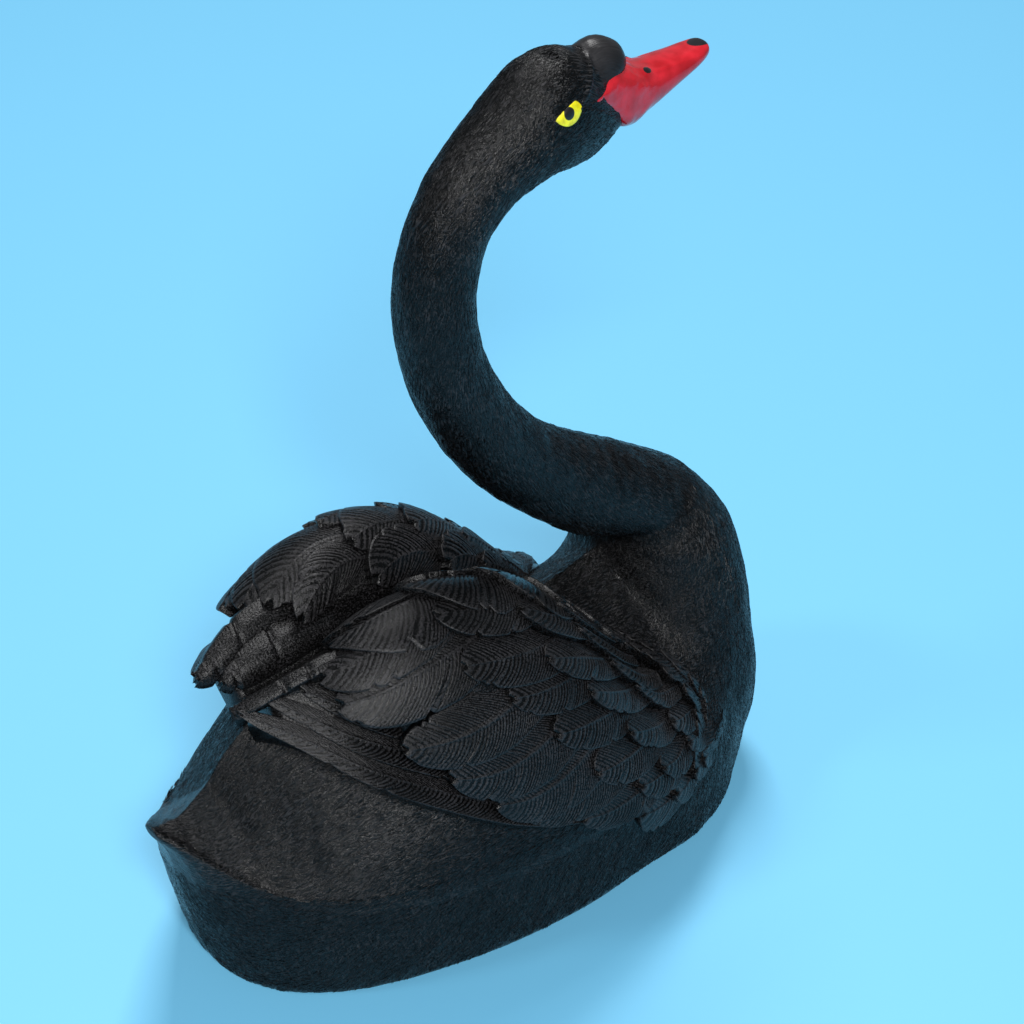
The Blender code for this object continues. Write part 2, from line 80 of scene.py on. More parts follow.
# The crook between back and neck, where the breast's sections meet. Each of them has its lean, how
# far its widest point and its belly lie from the crook, half width, and fullness of both halves.
CROOK_AT = (63.5, 88.5)
CROOK_FILLET = 4.5
BREAST_SECTIONS = (
    (2, 52.4, 107.4, 52.3, 1.08, 3.8),
    (12, 52.5, 105.2, 48.4, 1.15, 3.3),
    (23, 52.5, 98.8, 41.2, 1.4, 2.7),
    (36, 48.3, 86.2, 35.5, 1.75, 2.6),
    (50, 40.4, 67.5, 31, 1.95, 2.3),
    (66, 32.5, 56.3, 28, 2.0, 2.1),
    (82, 26.3, 49.3, 25.2, 2.0, 2.0),
    (100, 22.3, 40.8, 21, 2.0, 2.0),
    (117, 19.6, 35.3, 17.6, 2.0, 2.0),
)
NECK_SECTIONS = (
    (63, 108.5, 134, 16, 14.8, 15.3, 2.0, 2.0),
    (48, 119.5, 141, 15, 13, 13.4, 2.0, 2.0),
    (32, 133, 138, 13.8, 11.8, 12.2, 2.0, 2.0),
    (18.5, 149.5, 127, 12.8, 11.8, 12, 2.0, 2.0),
    (8.7, 167.5, 112, 11.8, 11.8, 11.8, 2.0, 2.0),
    (4, 185, 98, 11.6, 11.6, 11.6, 2.0, 2.0),
    (4, 202, 80, 11.4, 11.4, 11.4, 2.0, 2.0),
    (9, 217, 59, 11.3, 11.3, 11.3, 2.0, 2.0),
    (18, 228, 39, 12, 12, 11.8, 2.0, 2.0),
    (28, 235, 20, 13.4, 14, 13, 2.0, 2.0),
    (38, 240, 6, 16.7, 16.8, 13.8, 2.1, 2.0),
    (48, 241, 0, 17.3, 18, 12.7, 2.2, 2.0),
    (57, 239.5, -4, 14, 16, 10.2, 2.2, 2.0),
    (65, 238, -8, 9.5, 10, 7.8, 2.0, 2.0),
    (71, 237, -8, 4.5, 4.5, 4.5, 2.0, 2.0),
)
KNOB_AT = (60, 0, 248.3)
KNOB_SIZE = (9.8, 7.8, 9.4)
KNOB_BLEND = 0.12
KNOB_STARTS_AT, KNOB_RISES_OVER = 46, 4
KNOB_LOWER_EDGE = ((50, 246.6), (59, 248.0), (66, 249.6), (72, 250.5))
KNOB_UNDERCUT = 1.2

# Carved lines on one side, mirrored on the other: the groove that parts the feathered crown from
# the bare knob, the line of the mouth behind the beak, and the raised edge along the tail. Each
# has its points, and its depth and half width. A depth below 0 stands up.
CROWN_GROOVE = ((57.0, 0, 255.5), (54.1, 4.6, 254.7), (51.1, 8.9, 252.8), (48.3, 11.2, 250.0),
                (45.8, 12.0, 248.0), (44.2, 12.6, 246.6))
CROWN_GROOVE_CUT = (0.8, 0.75)
MOUTH_LINE = ((44.5, 12.6, 246.0), (48.0, 12.3, 244.6), (54.0, 10.9, 241.6), (60, 9.3, 236.5))
MOUTH_LINE_CUT = (0.4, 0.5)
TAIL_RIDGE = ((-101, 0, 61), (-94, 6, 57.5), (-86, 17, 50), (-78, 27, 43.5), (-68, 36, 38.5))
TAIL_RIDGE_CUT = (-0.9, 1.6)
TAIL_RIDGE_STARTS_AT, TAIL_RIDGE_RISES_OVER = -62, 30
TAIL_TIP_AT, TAIL_RIDGE_ENDS_OVER = -101, 5

# The unevenness of the cast skin: height, length and seed of two layers of ripples. The skin lies
# sunk by about as much as the strokes stand up. All of it fades out within 3 mm of the ground.
SKIN_RIPPLES = ((0.22, 17, 5), (0.12, 6.5, 8))
SKIN_SUNK = 0.3
GROUND_BLEND = 3

# Points round each section. Then the rows of the tail, body, breast, neck and head, and how many
# rings each stretch has a row.
SKIN_COLUMNS = 208
ROWS_OF_EACH = (6, 6, 8, 9, 6)
RINGS_A_ROW = (5, 16, 12, 14, 19)

# Sections that lean less than this, in radians, stand on the ground where they reach it.
STANDING_LEAN = 1.2

# The resin's black and the lighter grey painted on its crests as a painted highlight, the size of the
# random patches over which that painted highlight varies, and the length, gap, depth and two
# directions of the combed grooves, which even out to one height where the knob is bare. That height
# paints the bare knob a shade lighter all over, as a painted sheen.
SATIN_BLACK, PAINTED_HIGHLIGHT_GREY = "#050505", "#333234"
HIGHLIGHT_PATCH = 14
COMBED_LENGTH, COMBED_GAP, COMBED_DEPTH = 3.0, 0.55, 0.7
COMBED_TURNS = (14, 72)
BARE_HEIGHT = 0.64


def curve_through(points):
    """Smooth curve through points whose first number rises: Hermite pieces whose slope at a point
    is the mean of its neighbours'."""
    points = np.array(points, float)
    at, values = points[:, 0], points[:, 1:]
    slopes = np.gradient(values, at, axis=0)

    def curve(x):
        x = np.clip(np.asarray(x, float), at[0], at[-1])
        i = np.clip(np.searchsorted(at, x, side="right") - 1, 0, len(at) - 2)
        span = (at[i + 1] - at[i])[..., None]
        u = (x - at[i])[..., None] / span
        rise, fall = slopes[i] * span, slopes[i + 1] * span
        return (values[i] * (1 + 2 * u) * (1 - u) ** 2 + rise * u * (1 - u) ** 2
                + values[i + 1] * u * u * (3 - 2 * u) - fall * u * u * (1 - u))
    return curve


def along(rows):
    """Smooth curve through rows of numbers, read from 0 at the first row to 1 at the last."""
    rows = np.array(rows, float)
    return curve_through(np.column_stack([np.linspace(0, 1, len(rows)), rows]))


def signed_power(value, power):
    """A power of the value's size, with its sign kept."""
    return np.sign(value) * np.abs(value) ** power


def skin_rows():
    """All sections as rows of one kind, each after its place along the skin. A breast section
    turns about the crook: its widest point lies that far from the crook, along a line that leans
    by its angle. Three more are worked out between each two of them."""
    count = len(BREAST_SECTIONS)
    fan = along(BREAST_SECTIONS)(np.linspace(0, 1, 4 * (count - 1) + 1))
    lean, to_widest, to_belly, half_width, back_full, belly_full = fan.T
    turn = np.radians(lean)
    breast = np.column_stack([
        CROOK_AT[0] + to_widest * np.sin(turn), CROOK_AT[1] - to_widest * np.cos(turn), lean,
        to_widest - CROOK_FILLET, to_belly - to_widest, half_width, back_full, belly_full])
    body, neck = np.array(BODY_SECTIONS, float), np.array(NECK_SECTIONS, float)
    start = len(body)
    places = np.concatenate([np.arange(start), start + np.arange(len(breast)) / 4,
                             start + count + np.arange(len(neck))])
    return np.column_stack([places, np.vstack([body, breast, neck])])


def section_points(rows, angle):
    """Points of leaning sections: two half superellipses each, whose sizes are the row's. What
    would reach below the ground slides up its own section to the ground."""
    x, z, lean, back, belly, half_width, back_full, belly_full = (c[:, None] for c in rows.T)
    across, upward = np.cos(angle)[None], np.sin(angle)[None]
    power = 2 / np.where(upward > 0, back_full, belly_full)
    rise = signed_power(upward, power) * np.where(upward > 0, back, belly)
    lean = np.radians(lean)
    rise = np.where(np.abs(lean) < STANDING_LEAN, np.maximum(rise, -z / np.cos(lean)), rise)
    return np.stack([x - np.sin(lean) * rise,
                     signed_power(across, power) * half_width + 0 * rise,
                     z + np.cos(lean) * rise], -1)


def ring_places():
    """Places of the rings along the rows, denser where the form is finer."""
    parts, start = [], 0
    for rows, rings in zip(ROWS_OF_EACH, RINGS_A_ROW):
        parts.append(np.linspace(start, start + rows, rows * rings, endpoint=False))
        start += rows
    return np.append(np.concatenate(parts), start)


def grid_normals(points):
    """Unit normals of a grid of points that wraps round, from the cross product of its directions."""
    down = np.gradient(points, axis=0)
    across = (np.roll(points, -1, 1) - np.roll(points, 1, 1)) / 2
    normal = np.cross(down, across)
    return normal / np.maximum(np.linalg.norm(normal, axis=-1, keepdims=True), 1e-9)


def folded(points):
    """Points with those on the right side moved to their mirror place on the left."""
    return np.concatenate([points[..., :1], np.abs(points[..., 1:2]), points[..., 2:]], -1)


def from_line(points, line):
    """Distance of points, folded to the swan's one side, from a line through a few points."""
    places = folded(points)
    nearest = np.full(points.shape[:-1], np.inf)
    for start, end in zip(np.array(line[:-1], float), np.array(line[1:], float)):
        reach = end - start
        share = np.clip(((places - start) @ reach) / (reach @ reach), 0, 1)
        gap = np.linalg.norm(places - start - share[..., None] * reach, axis=-1)
        nearest = np.minimum(nearest, gap)
    return nearest


def ripples(points, size, seed):
    """Soft unevenness of about -1 to 1: the mean of nine sines along random directions, each
    about as many mm long as the size."""
    chance = np.random.default_rng(seed)
    waves = chance.normal(size=(3, 9)) * 2 * np.pi / size
    return np.sin(points @ waves + chance.uniform(0, 6.3, 9)).mean(-1) * 1.6


def swell_to_knob(points):
    """The knob on the forehead: what lies inside a squashed ball is pushed out to its surface,
    with a soft blend round it. Below the knob's lower edge the points go back to where they were,
    except along the middle, so that it overhangs the beak."""
    away = (points - np.array(KNOB_AT)) / np.array(KNOB_SIZE)
    far = np.linalg.norm(away, axis=-1, keepdims=True)
    out = (far + 1 + np.sqrt((far - 1) ** 2 + KNOB_BLEND ** 2)) / 2
    in_front = np.clip((points[..., :1] - KNOB_STARTS_AT) / KNOB_RISES_OVER, 0, 1)
    shift = (out / np.maximum(far, 0.05) - 1) * in_front
    fade = np.clip((1.5 - far) / 0.4, 0, 1)
    swollen = points + (points - np.array(KNOB_AT)) * shift * fade
    edge = np.interp(swollen[..., 0], *zip(*KNOB_LOWER_EDGE))
    aside = np.clip(np.abs(swollen[..., 1]) - 1.5, 0, 1)
    under = np.clip((edge - swollen[..., 2]) / KNOB_UNDERCUT, 0, 1) * aside
    return swollen + (points - swollen) * under[..., None]


def skin_surface(places, angle):
    """Points and normals of the finished skin at places along the rows and angles round each
    section: the sections with the knob, moved along the normal by the carved lines, which are
    bells of their depth and half width, and by a slight unevenness."""
    points = section_points(curve_through(skin_rows())(places), angle)
    points = swell_to_knob(points)
    normal = grid_normals(points)
    height = sum(rise * ripples(points, size, seed) for rise, size, seed in SKIN_RIPPLES) - SKIN_SUNK
    for line, (depth, width) in ((CROWN_GROOVE, CROWN_GROOVE_CUT), (MOUTH_LINE, MOUTH_LINE_CUT)):
        height -= depth * np.exp(-(from_line(points, line) / width) ** 2)
    depth, width = TAIL_RIDGE_CUT
    x = points[..., 0]
    fading = np.clip((TAIL_RIDGE_STARTS_AT - x) / TAIL_RIDGE_RISES_OVER, 0, 1)
    fading = fading * np.clip((x - TAIL_TIP_AT) / TAIL_RIDGE_ENDS_OVER, 0, 1)
    height -= depth * fading * np.exp(-(from_line(points, TAIL_RIDGE) / width) ** 2)
    off_ground = np.clip(points[..., 2] / GROUND_BLEND, 0, 1)
    moved = points + normal * (height * off_ground)[..., None]
    return moved, normal


def linear(code):
    """An sRGB hex colour as linear RGBA."""
    values = [int(code[i:i + 2], 16) / 255 for i in (1, 3, 5)]
    return (*(v / 12.92 if v <= 0.04045 else ((v + 0.055) / 1.055) ** 2.4 for v in values), 1)


def add_node(tree, kind, settings=None, links=None):
    """One node of a kind, its settings by socket name, socket number or property, and what feeds
    its sockets."""
    node = tree.nodes.new(kind)
    for name, value in (settings or {}).items():
        if isinstance(name, int) or name in node.inputs:
            node.inputs[name].default_value = value
        else:
            setattr(node, name, value)
    for name, source in (links or {}).items():
        tree.links.new(source, node.inputs[name])
    return node


def new_material(name):
    """A material of that name, and its node tree, emptied."""
    material = bpy.data.materials.new(name)
    material.use_nodes = True
    tree = material.node_tree
    tree.nodes.clear()
    return material, tree


def closed_sides(rows, columns, wraps=True):
    """Corner indices of a grid's quads, with the last column joined to the first if it wraps."""
    r = np.arange(rows - 1)[:, None] * columns
    c = np.arange(columns if wraps else columns - 1)[None]
    n = (c + 1) % columns
    return np.stack([r + c, r + n, r + columns + n, r + columns + c], -1).reshape(-1, 4)


def add_piece(name, points, faces, material, attributes=None, smooth=True):
    """A mesh piece from points in mm and arrays of faces, each array of one corner count. The
    points are kept inside the CAD's box, and attributes hold a number for each point."""
    mesh = bpy.data.meshes.new(name)
    points = np.asarray(points, float).reshape(-1, 3)
    points = np.clip(points, BOX_LOW + BOX_MARGIN, BOX_HIGH - BOX_MARGIN)
    corners = np.concatenate([np.asarray(f).ravel() for f in faces]).astype(np.int32)
    totals = np.concatenate([np.full(len(f), np.shape(f)[1]) for f in faces]).astype(np.int32)
    mesh.vertices.add(len(points))
    mesh.vertices.foreach_set("co", (points * MM).ravel())
    mesh.loops.add(len(corners))
    mesh.loops.foreach_set("vertex_index", corners)
    mesh.polygons.add(len(totals))
    mesh.polygons.foreach_set("loop_start", np.concatenate([[0], np.cumsum(totals)[:-1]]))
    mesh.polygons.foreach_set("loop_total", totals)
    mesh.polygons.foreach_set("use_smooth", np.full(len(totals), smooth))
    for key, values in (attributes or {}).items():
        layer = mesh.attributes.new(key, "FLOAT", "POINT")
        layer.data.foreach_set("value", np.asarray(values, np.float32).ravel())
    mesh.update(calc_edges=True)
    mesh.validate()
    mesh.materials.append(material)
    piece = bpy.data.objects.new(name, mesh)
    bpy.context.scene.collection.objects.link(piece)
    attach(piece, "root")
    return piece


def closed_tube(points):
    """Points and faces of a closed tube: a grid that wraps, with a pole at each end."""
    rows, columns = points.shape[:2]
    poles = np.array([points[0].mean(0), points[-1].mean(0)])
    c = np.arange(columns)
    n = (c + 1) % columns
    first, last = rows * columns, rows * columns + 1
    end = (rows - 1) * columns
    low = np.column_stack([np.full(columns, first), n, c])
    high = np.column_stack([np.full(columns, last), end + c, end + n])
    return np.vstack([points.reshape(-1, 3), poles]), [closed_sides(rows, columns), low, high]


def satin_black_with_painted_highlights(tree, height, place, relief):
    """Cold-cast polyester resin, sprayed satin black: a deep neutral black with a soft broad sheen
    that the height's relief, in mm, breaks up. The spray shines less than bare resin, so its IOR lies
    under the usual 1.5. The crests are painted a shade lighter as a painted highlight, more in some
    random patches 14 mm across than in others."""
    patches = add_node(tree, "ShaderNodeTexNoise", {"Scale": 1 / (HIGHLIGHT_PATCH * MM), "Detail": 2.0},
                       {"Vector": place.outputs["Object"]})
    highlight_patches = add_node(tree, "ShaderNodeMapRange", {"From Min": 0.3, "From Max": 0.65, "To Min": 0.45},
                    {"Value": patches.outputs["Fac"]})
    # Painted highlight: the height's crests get a lighter grey, more in some random patches than in
    # others.
    raised = add_node(tree, "ShaderNodeMapRange", {"From Min": 0.48, "From Max": 0.72},
                      {"Value": height})
    painted_highlight = add_node(tree, "ShaderNodeMath", {"operation": "MULTIPLY"},
                      {0: raised.outputs["Result"], 1: highlight_patches.outputs["Result"]})
    colour = add_node(tree, "ShaderNodeValToRGB", {}, {"Fac": painted_highlight.outputs["Value"]})
    for stop, code in zip(colour.color_ramp.elements, (SATIN_BLACK, PAINTED_HIGHLIGHT_GREY)):
        stop.color = linear(code)
    rough = add_node(tree, "ShaderNodeMapRange",
                     {"From Min": 0.3, "From Max": 0.7, "To Min": 0.2, "To Max": 0.36},
                     {"Value": height})
    bump = add_node(tree, "ShaderNodeBump", {"Strength": 1.0, "Distance": relief * MM},
                    {"Height": height})
    shader = add_node(tree, "ShaderNodeBsdfPrincipled", {"IOR": 1.29, "Metallic": 0.0},
                      {"Base Color": colour.outputs["Color"], "Roughness": rough.outputs["Result"],
                       "Normal": bump.outputs["Normal"]})
    add_node(tree, "ShaderNodeOutputMaterial", {}, {"Surface": shader.outputs["BSDF"]})


def resin_with_fine_down():
    """The satin black resin where the carver combed it: hair-fine grooves, 3 mm long and 0.55 mm
    apart, drawn on the skin's own lengths along and around it, turned down on the hull, and left
    off where the knob is bare."""
    material, tree = new_material("satin_black_resin_combed")
    place = add_node(tree, "ShaderNodeTexCoord")
    mm_along, mm_around, turned_down, bare = (
        add_node(tree, "ShaderNodeAttribute", {"attribute_name": name}).outputs["Fac"]
        for name in ("mm_along", "mm_around", "lies_down", "bare"))
    flat = add_node(tree, "ShaderNodeCombineXYZ", {}, {"X": mm_along, "Y": mm_around})
    combed = []
    for turn in COMBED_TURNS:
        laid = add_node(tree, "ShaderNodeMapping",
                        {"vector_type": "TEXTURE", "Rotation": (0, 0, math.radians(turn)),
                         "Scale": (COMBED_LENGTH, COMBED_GAP, 1)},
                        {"Vector": flat.outputs["Vector"]})
        combed.append(add_node(tree, "ShaderNodeTexNoise",
                               {"noise_dimensions": "2D", "Scale": 1.0, "Detail": 2.0,
                                "Roughness": 0.6},
                               {"Vector": laid.outputs["Vector"]}))
    height = add_node(tree, "ShaderNodeMix", {},
                      {"Factor": turned_down, 2: combed[0].outputs["Fac"],
                       3: combed[1].outputs["Fac"]})
    # The bare knob's even height lies high among the crests, so the knob is painted a shade lighter
    # all over: a painted sheen.
    smoothed = add_node(tree, "ShaderNodeMix", {3: BARE_HEIGHT},
                        {"Factor": bare, 2: height.outputs[0]})
    satin_black_with_painted_highlights(tree, smoothed.outputs[0], place, COMBED_DEPTH)
    return material


def lies_down(points):
    """How far the down has turned from backwards to downwards: from 0 at 46 mm above the ground it
    rises to 1 at 20 mm, less at the tail's tip, and only to 0.7 behind the breast."""
    low = np.clip((46 - points[..., 2]) / 26, 0, 1) * np.clip((points[..., 0] + 110) / 30, 0, 1)
    return low * (0.7 + 0.3 * np.clip((points[..., 0] - 60) / 25, 0, 1))


def lengths_on_skin(points):
    """Lengths in mm along the rows, and around each section from its back down either side."""
    step = np.linalg.norm(np.diff(points, axis=0), axis=-1).mean(1)
    along_it = np.concatenate([[0], np.cumsum(step)])[:, None] + 0 * points[..., 0]
    stretch = np.linalg.norm(np.roll(points, -1, 1) - points, axis=-1)
    top = points.shape[1] // 4
    turned = np.roll(stretch, -top, axis=1)
    one_way = np.concatenate([0 * turned[:, :1], np.cumsum(turned, axis=1)[:, :-1]], 1)
    other_way = turned.sum(1, keepdims=True) - one_way
    return along_it, np.roll(np.minimum(one_way, other_way), top, axis=1)


def on_knob(points):
    """How bare the skin is: 0.85 on the knob ahead of the crown's groove, which bends back by a
    power of the distance from the middle, and 0 on the feathers."""
    far = np.linalg.norm((points - np.array(KNOB_AT)) / np.array(KNOB_SIZE), axis=-1)
    ahead = points[..., 0] - (54.5 - 0.16 * np.abs(points[..., 1]) ** 1.6)
    return np.clip((1.35 - far) / 0.3, 0, 0.85) * np.clip(ahead, 0, 1)


skin_angle = np.arange(SKIN_COLUMNS) * 2 * np.pi / SKIN_COLUMNS
skin_points, skin_normals = skin_surface(ring_places(), skin_angle)
skin_along, skin_around = lengths_on_skin(skin_points)
skin_values = {"mm_along": skin_along, "mm_around": skin_around,
               "lies_down": lies_down(skin_points), "bare": on_knob(skin_points)}
skin_values = {name: np.append(values, [values[0, 0], values[-1, 0]])
               for name, values in skin_values.items()}
skin = add_piece("body_and_neck", *closed_tube(skin_points), resin_with_fine_down(), skin_values)
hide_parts("swan_casting")


# The down: short raised strokes that the carver pressed into the model all over the skin, lying
# from the head back to the tail and turning down towards the ground on the hull and breast.

# Length, width and height of a stroke, the square millimetres that each has to itself, how far at
# most its crest is raised in the bump and painted lighter as a painted highlight, and what share of
# that its two ends, two sides and top get.
STROKE_SIZE = (2.6, 0.46, 0.26)
STROKE_SPACING = 0.8
STROKE_SEED = 3
STROKE_LIFT_AND_HIGHLIGHT = 1.6
GRAIN_RIDGE = np.array([0.3, 0.6, 0.0, 0.0, 1.0])
STROKE_ENDS_SUNK, STROKE_SIDES_SUNK = 0.08, 0.05

# Degrees between a stroke and straight back: on top, on the hull, and the scatter, in radians.
LIE_ABOVE, LIE_ON_HULL, LIE_SCATTER = 14, 72, 0.16
NECK_FROM_Z, BREAST_FROM_X = 112, 40
TOOTH_SIZE, TOOTH_DEPTH = 0.5, 0.2

# Where the wings cover the skin, along X: height and distance from the middle of a wing's ridge and
# of its lower edge.
WING_RIDGE = (
    (-77, 94, 12), (-57, 100.5, 17), (-46, 106.8, 19.3), (-30, 113.8, 20), (-12, 114.3, 20),
    (4, 110, 20), (20, 100.5, 19), (36, 85, 18), (50, 70.8, 20), (63, 63.5, 26), (72, 55, 32),
    (77, 46, 37),
)
WING_LOWER_EDGE = (
    (-77, 95.5, 11), (-65, 88, 24), (-52, 78, 38.5), (-32, 64.3, 49.5), (-7, 49.6, 57.7),
    (14, 41, 60.5), (36, 34, 60), (58, 30, 54), (72, 33, 45), (77, 44, 38),
)

wing_ridge = curve_through(WING_RIDGE)
wing_lower_edge = curve_through(WING_LOWER_EDGE)


def plain_resin():
    """The same satin black resin on the strokes and feathers, with the tooth of its spray, 0.5 mm
    across. Where the piece's attribute is near 1, on the ridges, its bump stands higher and its
    colour is painted lighter: a painted highlight."""
    material, tree = new_material("satin_black_resin")
    place = add_node(tree, "ShaderNodeTexCoord")
    tooth = add_node(tree, "ShaderNodeTexNoise", {"Scale": 1 / (TOOTH_SIZE * MM), "Detail": 3.0},
                     {"Vector": place.outputs["Object"]})
    ridge = add_node(tree, "ShaderNodeAttribute", {"attribute_name": "ridge"})
    lift = add_node(tree, "ShaderNodeMapRange", {"To Min": -0.12, "To Max": 0.22},
                    {"Value": ridge.outputs["Fac"]})
    height = add_node(tree, "ShaderNodeMath", {"operation": "ADD"},
                      {0: tooth.outputs["Fac"], 1: lift.outputs["Result"]})
    satin_black_with_painted_highlights(tree, height.outputs["Value"], place, TOOTH_DEPTH)
    return material


def stroke_field(points, normals):
    """Places, directions and normals of the strokes, and the draws that follow: random picks from
    the skin's grid, as many as its area asks for, with the lie of the down turned from backwards
    to downwards near the ground. None lie on the bare knob and beak, under the wings or on the
    pinched tip of the tail."""
    chance = np.random.default_rng(STROKE_SEED)
    back = -np.gradient(points, axis=0)
    side = (np.roll(points, -1, 1) - np.roll(points, 1, 1)) / 2
    area = np.linalg.norm(np.cross(back, side), axis=-1)
    x, y, z = points[..., 0], np.abs(points[..., 1]), points[..., 2]
    # Bare: round the crown's groove, ahead of a slanting line on the cheek, and on the knob.
    bare = (from_line(points, CROWN_GROOVE) < 1.2) | (x > 53 + 0.6 * (246 - z)) & (z > 225)
    bare |= (x > 46) & (z > 246.5) & (y > 11.5 - 1.9 * (x - 48))
    # Covered: from 3 mm above the wing's lower edge up, but at the shoulder only outside its ridge.
    edge = wing_lower_edge(x)
    covered = (z > edge[..., 0] + 3) & (x < 45) & (z < 120) & (x > -62)
    covered |= (z > edge[..., 0] + 3) & (x >= 45) & (x < 72) & (z < 100) & (y > wing_ridge(x)[..., 1])
    pinched = (x < -82) & (z > 40)
    wanted = area * (z > 1.2) * ~bare * ~covered * ~pinched
    count = int(wanted.sum() / STROKE_SPACING)
    picked = chance.choice(area.size, count, p=(wanted / wanted.sum()).ravel())
    row, column = np.unravel_index(picked, area.shape)
    shift = chance.uniform(-0.5, 0.5, (2, count, 1))
    at = points[row, column] + back[row, column] * shift[0] + side[row, column] * shift[1]
    normal = normals[row, column]
    back = back[row, column] / np.linalg.norm(back[row, column], axis=1, keepdims=True)
    down = np.cross(normal, back)
    down *= np.where(down[:, 2:] > 0, -1, 1)
    turn = np.radians(LIE_ABOVE + (LIE_ON_HULL - LIE_ABOVE) * lies_down(at))
    turn = turn + chance.normal(0, LIE_SCATTER, count) + 0.35 * ripples(at, 30, 11)
    lie = back * np.cos(turn)[:, None] + down * np.sin(turn)[:, None]
    return at, lie, normal, chance


def strokes(points, normals):
    """Corners of the strokes, how far each is raised in the bump and painted lighter as a painted
    highlight, and one stroke's faces. Each is a low grain of five corners: two ends, two sides and a
    top nearer its front. How far its crest is raised and painted lighter is a squared random share,
    so that few are pale."""
    at, lie, normal, chance = stroke_field(points, normals)
    length, width, height = STROKE_SIZE
    size = chance.uniform(0.6, 1.3, (len(at), 1))
    across = np.cross(normal, lie) * width / 2
    half = lie * length / 2 * size
    ends, sides = normal * STROKE_ENDS_SUNK, normal * STROKE_SIDES_SUNK
    grains = np.stack([at - half - ends, at + half - ends, at - across - sides,
                       at + across - sides, at + half * 0.25 + normal * height * size], 1)
    grains[..., 2] = np.maximum(grains[..., 2], BOX_MARGIN)
    # Painted highlight: how far each stroke's crest is raised in the bump and painted lighter.
    lift_and_highlight = chance.uniform(0, 1, (len(at), 1)) ** 2 * STROKE_LIFT_AND_HIGHLIGHT
    return grains, lift_and_highlight, np.array([(0, 2, 4), (2, 1, 4), (1, 3, 4), (3, 0, 4), (0, 3, 1), (0, 1, 2)])


satin_black = plain_resin()
grains, grain_lift_and_highlight, grain_faces = strokes(skin_points, skin_normals)
on_neck = grains[:, 4, 2] > NECK_FROM_Z
on_breast = ~on_neck & (grains[:, 4, 0] > BREAST_FROM_X)
for name, chosen in (("down_on_neck_and_head", on_neck), ("down_on_breast", on_breast),
                     ("down_on_body", ~on_neck & ~on_breast)):
    place = grains[chosen]
    faces = (np.arange(len(place))[:, None, None] * 5 + grain_faces[None]).reshape(-1, 3)
    add_piece(name, place, [faces], satin_black, {"ridge": grain_lift_and_highlight[chosen] * GRAIN_RIDGE},
              smooth=False)


# The wings: cast in one with the body, folded over the back. Each is a swelling surface between a
# ridge and a lower edge, laid with rows of carved feathers whose lower edges stand up like shingles.
WING_FALL = 1.25
INNER_SLOPE_FALL = 16
INNER_SLOPE_END = 4
PRIMARY_SLOPE = 45
PRIMARY_SLOPE_ANGLE = 49
WING_CORE_SUNK, PRIMARY_CORE_SUNK = 0.9, 0.8
RIGHT_WING_SEED, LEFT_WING_SEED = 20, 21

# Each row of feathers: roots and tips as X and t on its surface, count, widths from the row's first
# feather to its last, lift at root and tip, how far it bows down, how round its tip is, and how far
# its lower edge stands up. The rows are the CAD's, with the primaries, the secondaries and the
# smallest feathers set closer to the real carving.
PRIMARIES = dict(
    roots=((4, 0.14), (24, 0.36), (36, 0.55), (42, 0.87)),
    tips=((-48, 0.22), (-59, 0.50), (-68.5, 0.74), (-76, 0.95)),
    count=4, width=(14, 13.5, 13.5), lift=(0.2, 1.3), bow=-1, tip_round=0.5, shingle=1.3)
INNER_PRIMARIES = dict(
    roots=((-14, 0.30), (-20, 0.64)), tips=((-77, 0.20), (-71, 0.56)),
    count=2, width=(14, 14, 13.5), lift=(-0.5, 0.6), bow=0.5, tip_round=0.6, shingle=0.5)
SECONDARIES = dict(
    roots=((-4, -0.55), (-4, -0.20), (-2, 0.02), (4, 0.18), (14, 0.36), (22, 0.46), (30, 0.54),
           (38, 0.62), (48, 0.70), (60, 0.80)),
    tips=((-42, -0.58), (-47, -0.22), (-52, 0.06), (-53, 0.31), (-42, 0.65), (-31, 0.79),
          (-21, 0.88), (-11, 0.94), (5, 0.97), (30, 0.98)),
    count=10, width=(17, 18.5, 17), lift=(-1.6, 2.0), bow=5, tip_round=0.5, shingle=1.6)
GREATER_COVERTS = dict(
    roots=((20, -0.60), (24, 0.08), (36, 0.32), (52, 0.52), (66, 0.74)),
    tips=((-16, -0.65), (-21, 0.12), (-10, 0.50), (16, 0.74), (44, 0.90)),
    count=9, width=(15, 15.8, 13), lift=(-1.2, 2.8), bow=4, tip_round=0.5, shingle=1.6)
MEDIAN_COVERTS = dict(
    roots=((34, -0.50), (40, 0.10), (48, 0.30), (60, 0.50), (69, 0.74)),
    tips=((6, -0.65), (4, 0.10), (13, 0.44), (32, 0.64), (54, 0.86)),
    count=8, width=(12, 13, 10), lift=(-0.6, 3.0), bow=3, tip_round=0.5, shingle=1.6)
LESSER_COVERTS = dict(
    roots=((46, -0.40), (52, 0.08), (60, 0.28), (69, 0.50), (72, 0.78)),
    tips=((24, -0.50), (23, 0.08), (33, 0.34), (48, 0.54), (62, 0.86)),
    count=9, width=(9, 11, 9), lift=(-0.4, 2.8), bow=2, tip_round=0.5, shingle=1.5)
SHOULDER_FEATHERS = dict(
    roots=((52, -0.14), (60, 0.10), (67, 0.22), (71, 0.42), (70, 0.66), (62, 0.88)),
    tips=((35, -0.28), (44, 0.06), (54, 0.17), (62, 0.34), (65, 0.54), (60, 0.72)),
    count=10, width=(7, 8, 7), lift=(-0.3, 2.4), bow=1, tip_round=0.6, shingle=1.2)
